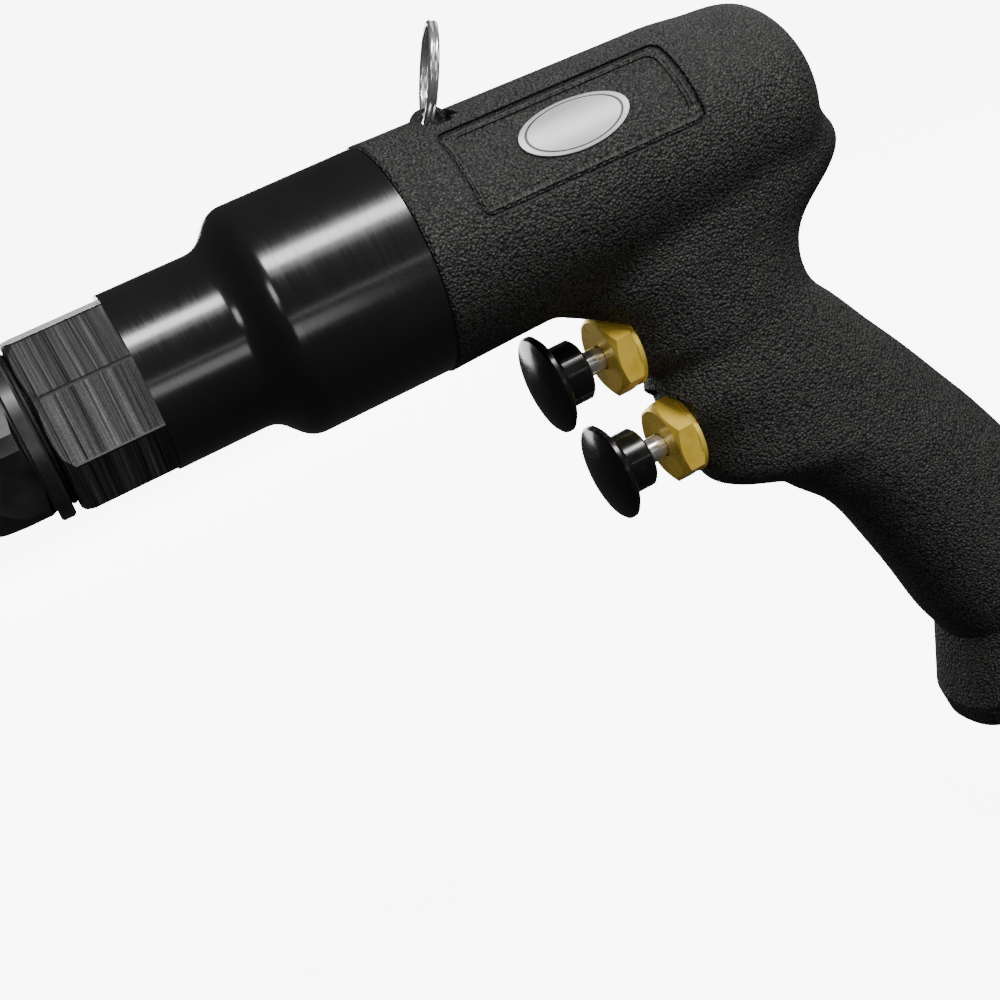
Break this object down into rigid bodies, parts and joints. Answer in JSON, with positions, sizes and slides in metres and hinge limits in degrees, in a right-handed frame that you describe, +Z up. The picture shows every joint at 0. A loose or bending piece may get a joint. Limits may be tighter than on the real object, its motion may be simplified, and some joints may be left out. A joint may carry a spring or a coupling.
{
  "type": "pneumatic rivet-nut gun",
  "caption": "Pistol-grip air tool that spins and pulls a threaded mandrel to set rivet nuts, with push buttons for forward and reverse and a hanging ring.",
  "frame": {"origin": "centre of the anvil face at the front of the nosepiece, on the barrel axis, where a rivet nut's flange rests", "axes": "+X along the barrel axis to the rear, so the mandrel points to -X; +Z up, towards the hanging ring; -Y is the flank with the blank oval plate"},
  "size_m": [0.2755, 0.0488, 0.2128],
  "materials": {
    "housing_plastic": "fine-pebbled black composite",
    "cast_alloy": "as cast and turned",
    "black_case": "gloss black anodised, machined flats",
    "black_oxide": "satin black oxide",
    "seal_rubber": "matte",
    "bronze": "satin",
    "gear_steel": "hardened, ground",
    "bright_steel": "polished",
    "cast_iron": "ground",
    "vane_phenolic": "phenolic cloth",
    "ring_chrome": "nickel plated wire",
    "badge_metal": "satin foil plate, blank",
    "cap_plastic": "matte black",
    "silencer_felt": "pressed felt",
    "inlet_steel": "zinc plated",
    "knob_gloss": "polished black phenolic",
    "stem_steel": "polished",
    "nut_brass": "turned yellow brass"
  },
  "bodies": {
    "tool_body": {"housing": "housing_plastic", "housing_liner": "cast_alloy", "barrel": "black_case", "nosepiece": "black_oxide", "nose_o_ring": "seal_rubber", "mandrel_thrust_washer": "bronze", "ring_gear": "gear_steel", "spindle_circlip": "gear_steel", "spindle_bearing_outer": "bright_steel", "front_end_plate": "cast_iron", "front_bearing_outer": "bright_steel", "motor_cylinder": "cast_iron", "cylinder_dowel": "bright_steel", "rear_end_plate": "cast_iron", "rear_bearing_outer": "bright_steel", "rear_gasket": "seal_rubber", "badge_plate": "badge_metal", "exhaust_cap": "cap_plastic", "silencer": "silencer_felt", "inlet_bushing": "inlet_steel", "inlet_screen": "bright_steel", "inlet_o_ring": "seal_rubber", "upper_valve_nut": "nut_brass", "upper_valve_sleeve": "nut_brass", "upper_valve_spring": "bright_steel", "lower_valve_nut": "nut_brass", "lower_valve_sleeve": "nut_brass", "lower_valve_spring": "bright_steel"},
    "hanger": {"hanger_ring": "ring_chrome"},
    "upper_button": {"upper_button_knob": "knob_gloss", "upper_valve_stem": "stem_steel", "upper_stem_o_ring": "seal_rubber"},
    "lower_button": {"lower_button_knob": "knob_gloss", "lower_valve_stem": "stem_steel", "lower_stem_o_ring": "seal_rubber"},
    "output_spindle": {"output_carrier": "gear_steel", "output_planet_pins": "bright_steel", "drive_bit": "gear_steel", "mandrel": "black_oxide", "spindle_bearing_inner": "bright_steel"},
    "first_stage": {"first_carrier": "gear_steel", "first_planet_pins": "bright_steel"},
    "rotor_shaft": {"rotor": "gear_steel", "vanes": "vane_phenolic", "front_bearing_inner": "bright_steel", "rear_bearing_inner": "bright_steel"},
    "spindle_bearing_cage": {"spindle_bearing_balls": "bright_steel"},
    "front_bearing_cage": {"front_bearing_balls": "bright_steel"},
    "rear_bearing_cage": {"rear_bearing_balls": "bright_steel"},
    "output_gear_1": {"output_planet_1": "gear_steel"},
    "first_gear_1": {"first_planet_1": "gear_steel"},
    "output_gear_2": {"output_planet_2": "gear_steel"},
    "first_gear_2": {"first_planet_2": "gear_steel"},
    "output_gear_3": {"output_planet_3": "gear_steel"},
    "first_gear_3": {"first_planet_3": "gear_steel"}
  },
  "joints": [
    {"name": "mandrel_spin", "type": "hinge", "parent": "tool_body", "child": "output_spindle", "pos_m": [0.08, 0, 0], "axis": [1, 0, 0], "continuous": true},
    {"name": "output_gear_1_spin", "type": "hinge", "parent": "output_spindle", "child": "output_gear_1", "pos_m": [0.08, 0, 0.01013], "axis": [1, 0, 0], "continuous": true},
    {"name": "output_gear_2_spin", "type": "hinge", "parent": "output_spindle", "child": "output_gear_2", "pos_m": [0.08, -0.00877, -0.00506], "axis": [1, 0, 0], "continuous": true},
    {"name": "output_gear_3_spin", "type": "hinge", "parent": "output_spindle", "child": "output_gear_3", "pos_m": [0.08, 0.00877, -0.00506], "axis": [1, 0, 0], "continuous": true},
    {"name": "first_stage_spin", "type": "hinge", "parent": "tool_body", "child": "first_stage", "pos_m": [0.08, 0, 0], "axis": [1, 0, 0], "continuous": true},
    {"name": "first_gear_1_spin", "type": "hinge", "parent": "first_stage", "child": "first_gear_1", "pos_m": [0.08, 0, 0.01013], "axis": [1, 0, 0], "continuous": true},
    {"name": "first_gear_2_spin", "type": "hinge", "parent": "first_stage", "child": "first_gear_2", "pos_m": [0.08, -0.00877, -0.00506], "axis": [1, 0, 0], "continuous": true},
    {"name": "first_gear_3_spin", "type": "hinge", "parent": "first_stage", "child": "first_gear_3", "pos_m": [0.08, 0.00877, -0.00506], "axis": [1, 0, 0], "continuous": true},
    {"name": "rotor_spin", "type": "hinge", "parent": "tool_body", "child": "rotor_shaft", "pos_m": [0.08, 0, 0], "axis": [1, 0, 0], "continuous": true},
    {"name": "spindle_cage_spin", "type": "hinge", "parent": "tool_body", "child": "spindle_bearing_cage", "pos_m": [0.08, 0, 0], "axis": [1, 0, 0], "continuous": true},
    {"name": "front_cage_spin", "type": "hinge", "parent": "tool_body", "child": "front_bearing_cage", "pos_m": [0.08, 0, 0], "axis": [1, 0, 0], "continuous": true},
    {"name": "rear_cage_spin", "type": "hinge", "parent": "tool_body", "child": "rear_bearing_cage", "pos_m": [0.08, 0, 0], "axis": [1, 0, 0], "continuous": true},
    {"name": "upper_button_press", "type": "slide", "parent": "tool_body", "child": "upper_button", "axis": [1, 0, 0], "range_m": [0, 0.0045], "stiffness_N_per_m": 1200, "springref_m": -0.004, "deforming": ["upper_valve_spring"]},
    {"name": "lower_button_press", "type": "slide", "parent": "tool_body", "child": "lower_button", "axis": [1, 0, 0], "range_m": [0, 0.0045], "stiffness_N_per_m": 1200, "springref_m": -0.004, "deforming": ["lower_valve_spring"]},
    {"name": "hanger_swing", "type": "hinge", "parent": "tool_body", "child": "hanger", "pos_m": [0.1279, 0, 0.0227], "axis": [0, 1, 0], "range_deg": [-65, 15]}
  ],
  "couplings": [
    {"joint": "output_gear_1_spin", "follows": "mandrel_spin", "ratio": -2.8},
    {"joint": "output_gear_2_spin", "follows": "mandrel_spin", "ratio": -2.8},
    {"joint": "output_gear_3_spin", "follows": "mandrel_spin", "ratio": -2.8},
    {"joint": "first_stage_spin", "follows": "mandrel_spin", "ratio": 4.5},
    {"joint": "first_gear_1_spin", "follows": "mandrel_spin", "ratio": -12.6},
    {"joint": "first_gear_2_spin", "follows": "mandrel_spin", "ratio": -12.6},
    {"joint": "first_gear_3_spin", "follows": "mandrel_spin", "ratio": -12.6},
    {"joint": "rotor_spin", "follows": "mandrel_spin", "ratio": 20.25},
    {"joint": "spindle_cage_spin", "follows": "mandrel_spin", "ratio": 0.42558},
    {"joint": "front_cage_spin", "follows": "mandrel_spin", "ratio": 8.4375},
    {"joint": "rear_cage_spin", "follows": "mandrel_spin", "ratio": 7.6427}
  ]
}
